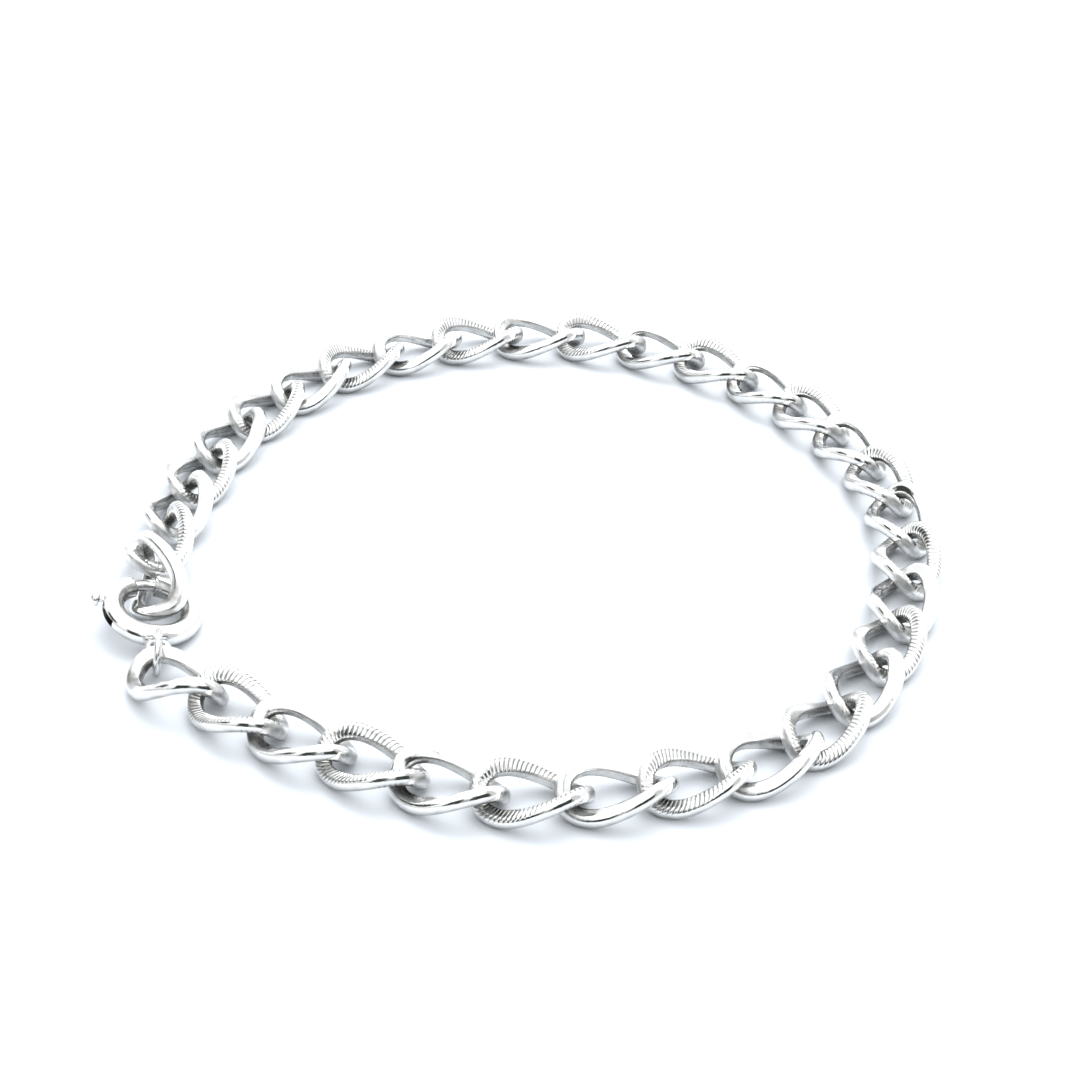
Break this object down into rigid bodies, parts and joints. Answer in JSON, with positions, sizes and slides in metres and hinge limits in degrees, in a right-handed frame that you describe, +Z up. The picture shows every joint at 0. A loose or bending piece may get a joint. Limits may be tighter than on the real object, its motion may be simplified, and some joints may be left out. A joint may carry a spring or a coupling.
{
  "type": "link bracelet",
  "caption": "Curb chain bracelet of twisted heavy wire links with two flattened faces, plain and ribbed by turns, closed with a spring ring clasp and a small jump ring.",
  "frame": {"origin": "middle of the bracelet's outline, on the surface that it lies on", "axes": "+X to the right, +Y to the far side, +Z up; the clasp is at the left and its knob points to -X"},
  "size_m": [0.0618, 0.0656, 0.005],
  "materials": {
    "polished": "polished silver",
    "cut": "silver with fine cut lines"
  },
  "bodies": {
    "chain": {"link_01": "polished", "link_02": "cut", "link_03": "polished", "link_04": "cut", "link_05": "polished", "link_06": "cut", "link_07": "polished", "link_08": "cut", "link_09": "polished", "link_10": "cut", "link_11": "polished", "link_12": "cut", "link_13": "polished", "link_14": "cut", "link_15": "polished", "link_16": "cut", "link_17": "polished", "link_18": "cut", "link_19": "polished", "link_20": "cut", "link_21": "polished", "link_22": "cut", "link_23": "polished", "link_24": "cut", "link_25": "polished", "link_26": "cut", "link_27": "polished", "link_28": "cut", "link_29": "polished", "link_30": "cut", "link_31": "polished", "link_32": "cut", "link_33": "polished", "clasp_ring": "polished", "jump_ring": "polished"},
    "bolt": {"clasp_bolt": "polished"}
  },
  "joints": [
    {"name": "bolt_slide", "type": "hinge", "parent": "chain", "child": "bolt", "pos_m": [-0.02654, -0.0118, 0.00146], "axis": [0.2469, -0.0223, 0.9688], "range_deg": [0, 39], "stiffness_Nm_per_rad": 0.00002, "springref_deg": -17.19}
  ]
}
